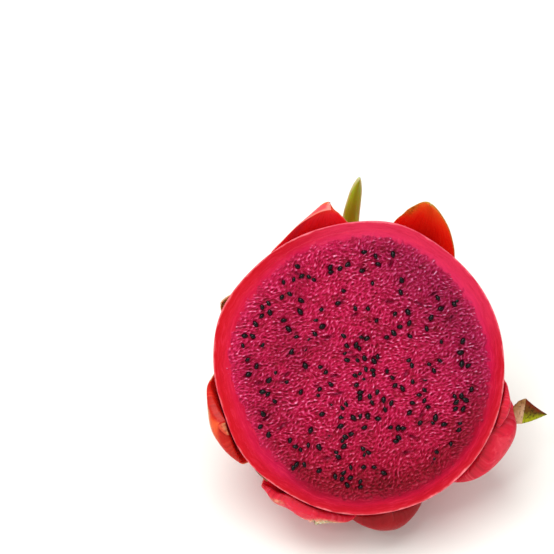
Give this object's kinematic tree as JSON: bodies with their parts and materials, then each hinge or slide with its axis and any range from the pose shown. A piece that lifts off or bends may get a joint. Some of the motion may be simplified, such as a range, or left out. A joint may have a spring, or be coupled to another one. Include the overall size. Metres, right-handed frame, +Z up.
{
  "type": "cut dragon fruit half",
  "caption": "Stem-end half of a red-fleshed dragon fruit resting on its skin: hollow rind, round cut face with black seeds, leaf-like bracts and a dried stem stub.",
  "frame": {"origin": "the point on the surface it rests on, under the middle of its bounding box", "axes": "+Z up; the cut face leans back and faces -Y and up; +X is to the right of someone who looks at the cut face"},
  "size_m": [0.0994, 0.0846, 0.0866],
  "materials": {
    "rind": "satin",
    "flesh": "gloss",
    "seed": "gloss",
    "bract": "satin",
    "stem_scale": "satin",
    "stem": "matte"
  },
  "bodies": {
    "root": {"rind": "rind", "flesh": "flesh", "stem_stub": "stem", "bract_right_top": "bract", "bract_spike": "bract", "bract_left_top": "bract", "bract_left": "bract", "bract_left_low": "bract", "bract_bottom": "bract", "bract_right_inner": "bract", "bract_right": "bract", "bract_back_right": "bract", "bract_back_top": "bract", "bract_back_left": "bract", "bract_low_left": "bract", "bract_under_left": "bract", "bract_under_right": "bract", "stem_scale_1": "stem_scale", "stem_scale_2": "stem_scale", "stem_scale_3": "stem_scale", "stem_scale_4": "stem_scale", "stem_scale_5": "stem_scale", "seed_01": "seed", "seed_02": "seed", "seed_03": "seed", "seed_04": "seed", "seed_05": "seed", "seed_06": "seed", "seed_07": "seed", "seed_08": "seed", "seed_09": "seed", "seed_10": "seed", "seed_11": "seed", "seed_12": "seed", "seed_13": "seed", "seed_14": "seed", "seed_15": "seed", "seed_16": "seed", "seed_17": "seed", "seed_18": "seed", "seed_19": "seed", "seed_20": "seed", "seed_21": "seed", "seed_22": "seed", "seed_23": "seed", "seed_24": "seed", "seed_25": "seed", "seed_26": "seed", "seed_27": "seed", "seed_28": "seed"}
  },
  "joints": []
}
